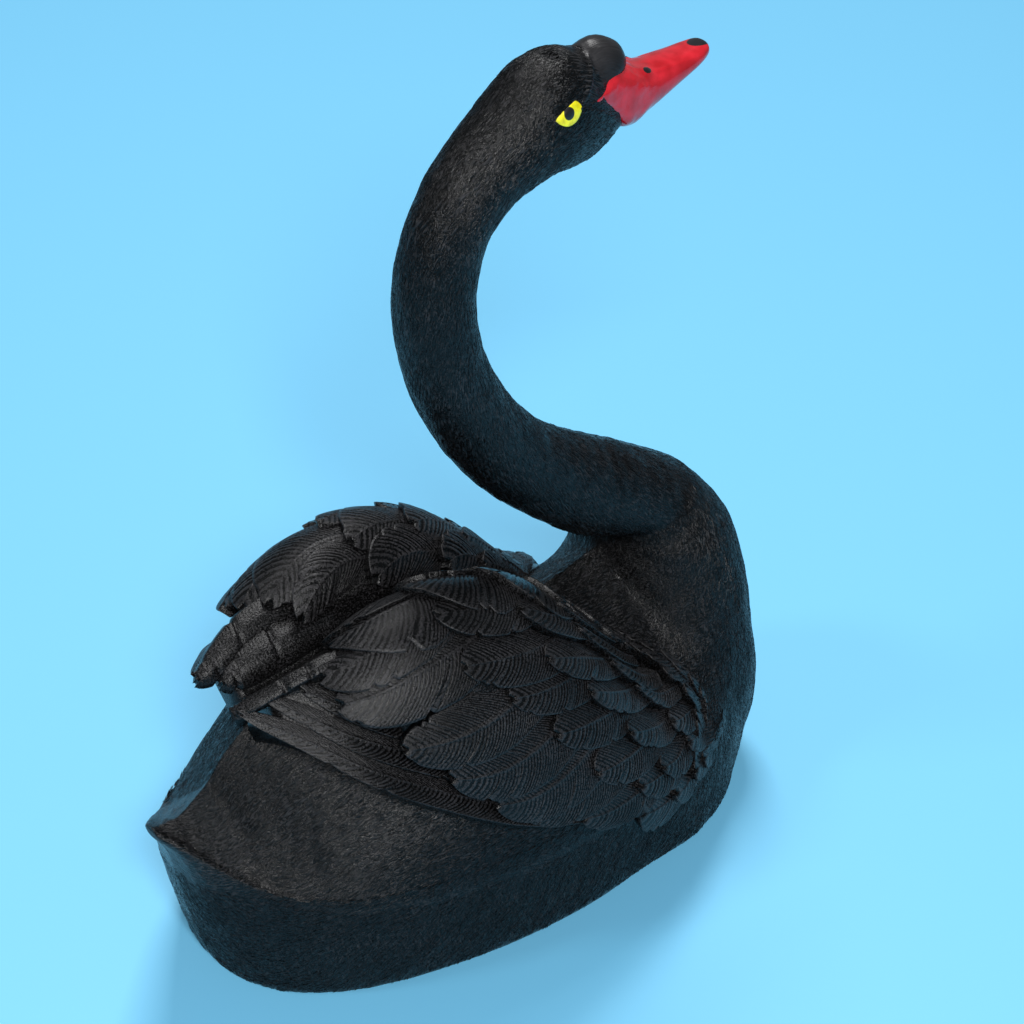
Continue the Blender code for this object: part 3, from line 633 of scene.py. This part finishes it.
RIM_FEATHERS = dict(
    roots=((60, 0.02), (66, 0.14), (73, 0.36), (75, 0.68), (64, 0.98)),
    tips=((48, -0.04), (56, 0.08), (67, 0.26), (73, 0.54), (67, 0.86)),
    count=12, width=(5.5, 6.5, 5.5), lift=(-0.2, 1.8), bow=0.5, tip_round=0.7, shingle=0.9)
ROWS_ON_THE_WING = (SECONDARIES, GREATER_COVERTS, MEDIAN_COVERTS, LESSER_COVERTS,
                    SHOULDER_FEATHERS, RIM_FEATHERS)

# The primaries' inner slope, along X: height and distance from the middle of its crest, and of the
# hollow between the wings.
PRIMARY_CREST = (
    (-77, 96, 12), (-69, 99, 14.5), (-60, 102.5, 17.5), (-48, 105, 20), (-30, 104, 20), (0, 92, 19),
    (20, 80, 18), (36, 68, 18),
)
PRIMARY_HOLLOW = ((-77, 90, 2), (-66, 89, 1), (-54, 90, 1), (-40, 92, 1), (0, 86, 1), (36, 62, 1))

# One feather: its arch, depth, width at the root and where it comes out from under the next row,
# both as a share. Then its barbs, shaft, notched outline and rolled rim, and the places across it.
FEATHER_CAMBER = 0.7
FEATHER_THICKNESS = 4.0
FEATHER_ROOT_WIDTH = 0.6
FEATHER_SHOWS_FROM = 0.22
BARB_SPACING = 1.15
BARB_DEPTH = 0.36
BARB_SWEEP = 1.15
BARB_BEND = 1.45
ROWS_A_BARB = 3
SHAFT_HEIGHT = 0.38
NOTCHES_A_SIDE, NOTCH_DEPTH, NOTCH_WIDTH = 2, 0.16, 0.8
RIM_OUT, RIM_DOWN, RIM_TUCKED = 0.1, 0.22, 0.35
VANE_ACROSS = (0, 0.06, 0.14, 0.34, 0.58, 0.8, 0.94, 1.0)

# How far the small feathers of a row stray from their places: roots and tips in X and t, and width
# as a share. The long primaries keep theirs. No tip passes the lower edge.
STRAYS_IN_ROWS_OVER = 6
ROOTS_STRAY, TIPS_STRAY, WIDTHS_STRAY = (0.7, 0.008), (1.3, 0.016), 0.07
LAST_TIP_AT = 0.98


def wing_surface(x, t):
    """Points of the right wing at X and t. From the ridge at t = 0 the surface goes out by a sine
    and down by one less a cosine to the lower edge at t = 1; below 0 it falls towards the back."""
    ridge, edge = wing_ridge(x), wing_lower_edge(x)
    turn = np.pi / 2 * t
    across = np.sin(np.abs(turn))
    down = 1 - signed_power(np.cos(turn), WING_FALL)
    outer = t > 0
    reach = np.where(outer, ridge[..., 1] - edge[..., 1], ridge[..., 1] - INNER_SLOPE_END)
    fall = np.where(outer, ridge[..., 0] - edge[..., 0], INNER_SLOPE_FALL)
    return np.stack([x, reach * across - ridge[..., 1], ridge[..., 0] - fall * down], -1)


def primary_surface(x, t):
    """Points of the straight slope under the primaries: from the wing's lower edge at t = 1 it
    rises inwards to t = 0."""
    edge = wing_lower_edge(x)
    slope = math.radians(PRIMARY_SLOPE_ANGLE)
    rise = (1 - t) * PRIMARY_SLOPE
    return np.stack([x, rise * math.cos(slope) - edge[..., 1],
                     edge[..., 0] + rise * math.sin(slope)], -1)


primary_crest = curve_through(PRIMARY_CREST)
primary_hollow = curve_through(PRIMARY_HOLLOW)


def inner_primary_surface(x, t):
    """Points of the primaries' inner slope, from its crest at t = 0 down to the hollow between the
    wings at t = 1, sagging a little on the way."""
    crest, hollow = primary_crest(x), primary_hollow(x)
    share = 1 - (1 - t) ** 1.3
    level = crest[..., 0] + (hollow[..., 0] - crest[..., 0]) * share
    aside = crest[..., 1] + (hollow[..., 1] - crest[..., 1]) * t
    return np.stack([x, -aside, level], -1)


def surface_frame(surface, x, t):
    """A surface's point at X and t, its outward normal, and its length per t."""
    step = 0.01
    x, t = np.broadcast_arrays(np.asarray(x, float), np.asarray(t, float))
    run = (surface(x + step, t) - surface(x - step, t)) / (2 * step)
    drop = (surface(x, t + step) - surface(x, t - step)) / (2 * step)
    normal = np.cross(drop, run)
    normal /= np.linalg.norm(normal, axis=-1, keepdims=True)
    return surface(x, t), normal, np.linalg.norm(drop, axis=-1)


def feather(surface, root, tip, width, row, chance):
    """Grid of one feather, and how much of a ridge each point is. Each grid row is part of a barb:
    it leaves the shaft, bends towards the tip and ends on the feather's outline, so the grooves
    between barbs follow the grid. The outline widens from the root, tapers to the tip, and has a
    few notches. The shaft goes from root to tip on the (X, t) map, bowed down. The vane is arched
    and tilted like a shingle."""
    lift, bow, tip_round = row["lift"], row["bow"], row["tip_round"]
    span = tip - root
    girth = surface_frame(surface, *(root + span * 0.5))[2]
    length = math.hypot(span[0], span[1] * girth)
    barbs = max(int(length * (1 - FEATHER_SHOWS_FROM) / BARB_SPACING), 5)
    rows = barbs * ROWS_A_BARB + 1
    q = np.linspace(FEATHER_SHOWS_FROM, 1, rows)[:, None]

    def half_at(s):
        """Half width at a share of the length, and its taper."""
        spread = FEATHER_ROOT_WIDTH + (1 - FEATHER_ROOT_WIDTH) * np.minimum(s / 0.5, 1)
        taper = np.maximum(1 - np.clip((s - 0.5) / 0.5, 0, 1) ** 3, 0.02)
        return width / 2 * spread * taper ** tip_round, taper ** tip_round

    out = np.array(VANE_ACROSS)
    v = np.concatenate([-out[:0:-1], out])[None]
    edge_half = half_at(q)[0]
    notch = np.ones((rows, 2))
    for side in (0, 1):
        for at in chance.uniform(0.55, 0.97, NOTCHES_A_SIDE):
            notch[:, side] -= NOTCH_DEPTH * np.exp(-((q[:, 0] - at) * length / NOTCH_WIDTH) ** 2)
    reach = np.where(v < 0, notch[:, :1], notch[:, 1:])
    from_shaft = np.maximum(q * length - BARB_SWEEP * edge_half, 0.5 * FEATHER_SHOWS_FROM * length)
    s = (from_shaft + (q * length - from_shaft) * np.abs(v) ** BARB_BEND) / length
    side = v * edge_half * reach
    half, taper = half_at(s)
    j = np.clip(side / half, -1, 1)

    x, t = root[0] + span[0] * s, root[1] + span[1] * s
    girth = surface_frame(surface, x, t)[2]
    t = t + bow * 4 * s * (1 - s) / girth
    heading = np.stack([np.full_like(s, span[0]), span[1] * girth + bow * 4 * (1 - 2 * s)], -1)
    heading /= np.linalg.norm(heading, axis=-1, keepdims=True)
    place, normal, _ = surface_frame(surface, x + heading[..., 1] * side,
                                     t - heading[..., 0] * side / girth)

    # Every third row is a groove, of uneven depth, which fades out at the shaft and at the outline.
    groove = np.where(np.arange(rows) % ROWS_A_BARB == 0, 1.0, 0.0)[:, None]
    groove = groove * np.clip(np.abs(v) / 0.1, 0, 1) * chance.uniform(0.5, 1.1, (rows, 1))
    groove = groove * np.clip((1 - np.abs(v)) / 0.1, 0, 1)
    shaft = SHAFT_HEIGHT * (np.abs(v) < 0.03) * (1 - 0.6 * s)
    height = (lift[0] + (lift[1] - lift[0]) * s + FEATHER_CAMBER * (1 - j * j) * taper
              + row["shingle"] * j * taper + shaft - BARB_DEPTH * groove)
    top = place + normal * height[..., None]
    # The ridge value raises the barbs' crests in the bump and paints them lighter: a painted
    # highlight.
    ridge = np.pad(0.7 - 1.3 * groove + 0 * s, ((0, 2), (2, 2)), constant_values=0.35)
    return walled(top, normal), ridge


def walled(top, normal):
    """A feather's grid with its rim rolled over and brought down into the casting on all sides."""
    def rim(points, up, inner):
        """The rolled edge next to a line of points, and the foot below it."""
        outward = points - inner
        outward /= np.maximum(np.linalg.norm(outward, axis=-1, keepdims=True), 1e-6)
        roll = points + outward * RIM_OUT - up * RIM_DOWN
        foot = points - outward * RIM_TUCKED - up * FEATHER_THICKNESS
        return roll, foot

    roll, foot = rim(top[:, 0], normal[:, 0], top[:, 1])
    far_roll, far_foot = rim(top[:, -1], normal[:, -1], top[:, -2])
    sheet = np.concatenate([foot[:, None], roll[:, None], top,
                            far_roll[:, None], far_foot[:, None]], 1)
    ups = np.concatenate([normal[:, :1]] * 2 + [normal] + [normal[:, -1:]] * 2, 1)
    tip_roll, tip_foot = rim(sheet[-1], ups[-1], sheet[-2])
    tip_foot[:2], tip_foot[-2:] = sheet[-1, :1], sheet[-1, -1:]
    tip_roll[0], tip_roll[-1] = sheet[-1, 0], sheet[-1, -1]
    return np.concatenate([sheet, tip_roll[None], tip_foot[None]], 0)


def feather_faces(rows, columns, start):
    """Quads of the sheet and of its underside, and one face at each end."""
    sheet = closed_sides(rows, columns, wraps=False)
    r = np.arange(rows - 1) * columns
    under = np.column_stack([r + columns - 1, r, r + columns, r + 2 * columns - 1])
    return np.vstack([sheet, under]) + start, (np.arange(columns) + start)[::-1], (
        (rows - 1) * columns + np.arange(columns) + start)


def wing_core():
    """The lump under the wing's own surface: sunk below it, thinner towards the back by a square,
    and closed inside the body by two lines of low points."""
    xs = np.linspace(-40, 76, 60)
    x, t = np.meshgrid(xs, np.linspace(-0.8, 0.88, 22), indexing="ij")
    place, normal, _ = surface_frame(wing_surface, x, t)
    thinner = 8 * np.clip(1 - (xs + 40) / 30, 0, 1) ** 2
    outer = place - normal * (WING_CORE_SUNK + thinner)[:, None, None]
    low = outer[:, -1]
    inside = np.stack([np.column_stack([xs, low[:, 1] * 0.5, low[:, 2] + 4]),
                       np.column_stack([xs, 0 * xs - INNER_SLOPE_END, low[:, 2] + 10])], 1)
    return np.concatenate([outer, inside], 1)


def primary_core():
    """The ridge under the primaries: their outer slope, their inner slope and a keel below."""
    xs = np.linspace(-67, 36, 50)
    top = np.interp(xs, (-76, -69, -60, -48, -30), (0.95, 0.8, 0.52, 0.17, 0.1))[:, None]
    levels = 0.95 + (top - 0.95) * np.linspace(0, 1, 10)
    x = np.broadcast_to(xs[:, None], levels.shape)
    place, normal, _ = surface_frame(primary_surface, x, levels)
    outer = place - normal * PRIMARY_CORE_SUNK
    levels = np.linspace(0.08, 0.95, 8)[None] + 0 * x[:, :8]
    place, normal, _ = surface_frame(inner_primary_surface, x[:, :8], levels)
    inner = place - normal * PRIMARY_CORE_SUNK
    keel = np.column_stack([xs, 0 * xs - 1, outer[:, 0, 2] - 16])
    return np.concatenate([outer, inner, keel[:, None]], 1)


def wing_shape(mirrored):
    """Points and faces of one wing, and how much of a ridge each point is. The left wing is the
    right one mirrored, with its own small irregularities."""
    chance = np.random.default_rng(LEFT_WING_SEED if mirrored else RIGHT_WING_SEED)
    points, quads, ends, ridges, start = [], [], {}, [], 0
    for lump in (wing_core(), primary_core()):
        place, faces = closed_tube(lump)
        points.append(place)
        ridges.append(np.full(len(place), 0.3))
        quads += [f[:, ::-1] + start for f in faces]
        start += len(place)
    rows = [(primary_surface, PRIMARIES), (inner_primary_surface, INNER_PRIMARIES)]
    rows += [(wing_surface, row) for row in ROWS_ON_THE_WING]
    for surface, row in rows:
        at = np.linspace(0, 1, row["count"])
        roots, tips = along(row["roots"])(at), along(row["tips"])(at)
        widths = along([(w,) for w in row["width"]])(at)[:, 0]
        strays = row["count"] > STRAYS_IN_ROWS_OVER
        roots += chance.normal(0, 1, roots.shape) * ROOTS_STRAY * strays
        tips += chance.normal(0, 1, tips.shape) * TIPS_STRAY * strays
        tips[:, 1] = np.minimum(tips[:, 1], LAST_TIP_AT)
        widths *= 1 + WIDTHS_STRAY * strays * chance.normal(0, 1, widths.shape)
        for root, tip, width in zip(roots, tips, widths):
            sheet, ridge = feather(surface, root, tip, width, row, chance)
            faces, first, last = feather_faces(*sheet.shape[:2], start)
            points.append(sheet.reshape(-1, 3))
            ridges.append(ridge.ravel())
            quads.append(faces)
            ends.setdefault(len(first), []).extend([first, last])
            start += sheet.shape[0] * sheet.shape[1]
    points = np.vstack(points)
    faces = quads + [np.array(e) for e in ends.values()]
    if mirrored:
        points = points * np.array([1, -1, 1])
        faces = [f[:, ::-1] for f in faces]
    return points, faces, np.concatenate(ridges)


for name, mirrored in (("right_wing", False), ("left_wing", True)):
    wing_points, wing_faces, wing_ridges = wing_shape(mirrored)
    add_piece(name, wing_points, wing_faces, satin_black, {"ridge": wing_ridges})


# The beak: part of the casting, brushed with glossy red enamel, its nail and nostrils touched in
# black. Its base runs back along each cheek as a point, and its upper edge is hollow in profile.

# X, height of the upper and the lower edge, and half width of each section.
BEAK_SECTIONS = (
    (49, 246.3, 245.3, 11.8),
    (52.5, 247.2, 244.2, 11.7),
    (56, 248.4, 241.4, 10.7),
    (61, 250.4, 236.0, 9.9),
    (67, 249.0, 230.2, 9.4),
    (77, 245.7, 232.0, 7.8),
    (88, 245, 236.2, 6.4),
    (95.5, 245.2, 239.2, 5.4),
    (99.8, 245.4, 241, 3.8),
    (101.4, 244.6, 242.4, 1.6),
)

# Fullness of the sections along X: nearly square at the base, rounder from the nostrils on.
BEAK_FULLNESS = ((66, 3.4), (78, 2.3))
BEAK_RINGS, BEAK_COLUMNS = 130, 96
BEAK_FOLD = ((79, 5.0, 243.8), (90, 4.6, 243.2), (97, 4.2, 243.0))
BEAK_FOLD_CUT = (0.3, 0.7)
NOSTRIL_AT = (74.6, 4.7, 244.9)
NOSTRIL_SIZE = (2.3, 1.5, 1.0)
NOSTRIL_DEPTH, NOSTRIL_LIP = 0.6, 0.14
CREASED_AT, CREASED_SIZE = (72, 6, 243.5), 4.5
NAIL_AT = (99.5, 0, 246.5)
NAIL_SIZE = (4.8, 3.2, 3.0)
ENAMEL_REDS = ((0.3, "#9f0c16"), (0.7, "#c21e2a"))
TOUCHED_IN_BLACK = "#141314"


def beak_points():
    """Points of the beak, and where it is black. Superellipse sections along X are moved along the
    normal by a fold on each side, the nostril's hollow with its lip, wrinkles that fade towards the
    tip, and creases round the nostril. Black is above 0 inside the nail's and the nostril's ball."""
    x, top, bottom, half_width = along(BEAK_SECTIONS)(np.linspace(0, 1, BEAK_RINGS)).T
    half = (top - bottom) / 2
    full = np.interp(x, *zip(*BEAK_FULLNESS))
    flat = np.column_stack([x, bottom + half, 0 * x, half, half, half_width, full, full])
    points = section_points(flat, np.arange(BEAK_COLUMNS) * 2 * np.pi / BEAK_COLUMNS)
    normal = grid_normals(points)
    aside = folded(points)
    nostril = np.linalg.norm((aside - NOSTRIL_AT) / np.array(NOSTRIL_SIZE), axis=-1)
    height = -NOSTRIL_DEPTH * np.exp(-nostril ** 4)
    height += NOSTRIL_LIP * np.exp(-((nostril - 2.6) / 0.8) ** 2)
    depth, width = BEAK_FOLD_CUT
    height -= depth * np.exp(-(from_line(points, BEAK_FOLD) / width) ** 2)
    wrinkled = np.clip((84 - points[..., 0]) / 12, 0, 1)
    height += wrinkled * (0.16 * ripples(points, 6, 31) + 0.12 * np.abs(ripples(points, 3.2, 32)))
    creased = np.exp(-(np.linalg.norm(aside - CREASED_AT, axis=-1) / CREASED_SIZE) ** 2)
    height -= creased * 0.3 * np.exp(-(ripples(points, 5.5, 35) / 0.16) ** 2)
    nail = np.linalg.norm((points - NAIL_AT) / np.array(NAIL_SIZE), axis=-1)
    black = np.maximum(1 - nail, 1 - nostril * 1.05)
    return points + normal * height[..., None], black


def red_enamel():
    """Gloss brushing enamel in signal red: wet-looking, uneven over 5 mm where the brush pooled,
    with black touched in where the piece's attribute is above 0."""
    material, tree = new_material("gloss_red_enamel")
    place = add_node(tree, "ShaderNodeTexCoord")
    uneven = add_node(tree, "ShaderNodeTexNoise", {"Scale": 1 / (5 * MM), "Detail": 2.0},
                      {"Vector": place.outputs["Object"]})
    red = add_node(tree, "ShaderNodeValToRGB", {}, {"Fac": uneven.outputs["Fac"]})
    for stop, (position, code) in zip(red.color_ramp.elements, ENAMEL_REDS):
        stop.position, stop.color = position, linear(code)
    touched = add_node(tree, "ShaderNodeAttribute", {"attribute_name": "black_paint"})
    mask = add_node(tree, "ShaderNodeMapRange", {"From Min": -0.03, "From Max": 0.05},
                    {"Value": touched.outputs["Fac"]})
    colour = add_node(tree, "ShaderNodeMix", {"data_type": "RGBA", 7: linear(TOUCHED_IN_BLACK)},
                      {"Factor": mask.outputs["Result"], 6: red.outputs["Color"]})
    bump = add_node(tree, "ShaderNodeBump", {"Strength": 1.0, "Distance": 0.1 * MM},
                    {"Height": uneven.outputs["Fac"]})
    shader = add_node(tree, "ShaderNodeBsdfPrincipled",
                      {"IOR": 1.45, "Roughness": 0.13, "Coat Weight": 0.3, "Coat Roughness": 0.04},
                      {"Base Color": colour.outputs[2], "Normal": bump.outputs["Normal"]})
    add_node(tree, "ShaderNodeOutputMaterial", {}, {"Surface": shader.outputs["BSDF"]})
    return material


beak_grid, beak_black = beak_points()
add_piece("beak", *closed_tube(beak_grid), red_enamel(),
          {"black_paint": np.append(beak_black, [-1, 0.5])})


# The eyes: low bosses of the casting on each side of the head, painted as a yellow almond with a
# round black pupil.
PUPIL_AT = (39.9, 246.7)
PUPIL_RADIUS = 1.75
EYE_OUTLINE = ((-4.4, -1.0), (-2.2, 0.6), (0.4, 1.7), (3.0, 2.4), (4.5, 1.1), (4.6, -0.9),
               (3.4, -2.7), (1.4, -3.6), (-0.9, -3.5), (-2.9, -2.5))
EYE_RINGS, EYE_COLUMNS = 15, 60
EYE_PROUD, PAINT_PROUD, PUPIL_PROUD, EYE_FOOT = 0.35, 0.15, 0.25, -1.2
HEAD_AROUND_EYE = (30, 50)
HEAD_SMOOTHED_OVER = 0.6
ENAMEL_YELLOWS = ((0.3, "#c9b90a"), (0.6, "#efe21c"))
PUPIL_BLACK = "#171614"


def eye_points(side):
    """Points of one eye, and how far each lies inside the pupil. An outline round the pupil in
    (X, Z) is filled by shrinking it. Its distance from the middle plane is the skin's near by,
    weighted by a bell of the distance, and a low dome goes over it."""
    turns = along(EYE_OUTLINE + EYE_OUTLINE[:1])(np.linspace(0, 1, EYE_COLUMNS + 1))[:-1]
    share = np.concatenate([np.linspace(0.04, 1, EYE_RINGS), [1.0]])[:, None, None]
    flat = np.array(PUPIL_AT) + turns[None] * share
    head = skin_points.reshape(-1, 3)
    back, front = HEAD_AROUND_EYE
    head = head[(head[:, 0] > back) & (head[:, 0] < front) & (head[:, 1] * side > 4)]
    gap = ((flat[:, :, None] - head[None, None][..., [0, 2]]) ** 2).sum(-1)
    weight = np.exp(-gap / (2 * HEAD_SMOOTHED_OVER ** 2))
    depth = (weight * head[:, 1]).sum(-1) / weight.sum(-1)
    radius = np.linalg.norm(flat - np.array(PUPIL_AT), axis=-1)
    rise = EYE_PROUD * (1 - share[..., 0] ** 4) + PAINT_PROUD
    rise = rise + PUPIL_PROUD * np.exp(-(radius / PUPIL_RADIUS) ** 4)
    rise[-1] = EYE_FOOT
    points = np.stack([flat[..., 0], depth + side * rise, flat[..., 1]], -1)
    return points, PUPIL_RADIUS - radius


def eye_enamel():
    """Gloss enamel dabbed on by hand: bright yellow, uneven over 1.6 mm, with a black pupil where
    the attribute is above 0."""
    material, tree = new_material("yellow_eye_enamel")
    pupil = add_node(tree, "ShaderNodeAttribute", {"attribute_name": "pupil"})
    mask = add_node(tree, "ShaderNodeMapRange", {"From Min": -0.06, "From Max": 0.06},
                    {"Value": pupil.outputs["Fac"]})
    place = add_node(tree, "ShaderNodeTexCoord")
    dabs = add_node(tree, "ShaderNodeTexNoise", {"Scale": 1 / (1.6 * MM), "Detail": 2.0},
                    {"Vector": place.outputs["Object"]})
    yellow = add_node(tree, "ShaderNodeValToRGB", {}, {"Fac": dabs.outputs["Fac"]})
    for stop, (position, code) in zip(yellow.color_ramp.elements, ENAMEL_YELLOWS):
        stop.position, stop.color = position, linear(code)
    colour = add_node(tree, "ShaderNodeMix", {"data_type": "RGBA", 7: linear(PUPIL_BLACK)},
                      {"Factor": mask.outputs["Result"], 6: yellow.outputs["Color"]})
    shader = add_node(tree, "ShaderNodeBsdfPrincipled", {"IOR": 1.5, "Roughness": 0.3},
                      {"Base Color": colour.outputs[2]})
    add_node(tree, "ShaderNodeOutputMaterial", {}, {"Surface": shader.outputs["BSDF"]})
    return material


eye_paint = eye_enamel()
for side, name in ((-1, "right_eye"), (1, "left_eye")):
    eye_grid, pupil = eye_points(side)
    place, faces = closed_tube(eye_grid)
    if side > 0:
        faces = [f[:, ::-1] for f in faces]
    add_piece(name, place, faces, eye_paint, {"pupil": np.append(pupil, [1, -1])})


# The stage: a plain pale blue floor of matt paper, three soft boxes and the camera at the
# photograph's place, 0.9 m away and 35 degrees above the floor. All of it is in metres.
FLOOR_SIZE = 6.0
FLOOR_BLUE, SKY_BLUE, SKY_STRENGTH = "#6fbbe0", "#dfeefb", 0.24
LAMPS_FACE = (0, 0, 0.1)

# Each lamp's name, place, size and watts.
SOFT_BOXES = (("front_soft_box", (-0.6, -1.0, 1.1), 0.36, 23),
              ("left_soft_box", (-1.0, 0.3, 1.3), 0.25, 4),
              ("top_soft_box", (0.5, 0.6, 1.6), 0.5, 22))

CAMERA_AT = (-0.408, -0.542, 0.601)
CAMERA_LOOKS_AT = (0.056, 0.0307, 0.0845)
LENS = 100.6

floor_material, floor_tree = new_material("matt_pale_blue_paper")
floor_shader = add_node(floor_tree, "ShaderNodeBsdfPrincipled",
                        {"Base Color": linear(FLOOR_BLUE), "Roughness": 0.6})
add_node(floor_tree, "ShaderNodeOutputMaterial", {}, {"Surface": floor_shader.outputs["BSDF"]})
floor_mesh = bpy.data.meshes.new("floor")
half = FLOOR_SIZE / 2
floor_mesh.from_pydata([(-half, -half, 0), (half, -half, 0), (half, half, 0), (-half, half, 0)], [],
                       [(0, 1, 2, 3)])
floor_mesh.materials.append(floor_material)
floor = bpy.data.objects.new("floor", floor_mesh)
bpy.context.scene.collection.objects.link(floor)


def set_up(name, thing, at, faces):
    """A lamp or camera placed at a point and turned to face another."""
    stand = bpy.data.objects.new(name, thing)
    stand.location = at
    stand.rotation_euler = (Vector(faces) - Vector(at)).to_track_quat("-Z", "Y").to_euler()
    bpy.context.scene.collection.objects.link(stand)
    return stand


for name, at, size, power in SOFT_BOXES:
    lamp = bpy.data.lights.new(name, "AREA")
    lamp.size = size
    lamp.energy = power
    set_up(name, lamp, at, LAMPS_FACE)

world = bpy.data.worlds.new("studio")
world.use_nodes = True
bpy.context.scene.world = world
background = world.node_tree.nodes["Background"]
background.inputs["Color"].default_value = linear(SKY_BLUE)
background.inputs["Strength"].default_value = SKY_STRENGTH

lens = bpy.data.cameras.new("camera")
lens.lens = LENS
lens.sensor_width = 36
bpy.context.scene.camera = set_up("camera", lens, CAMERA_AT, CAMERA_LOOKS_AT)
bpy.context.scene.view_settings.view_transform = "Standard"

bpy.context.view_layer.update()
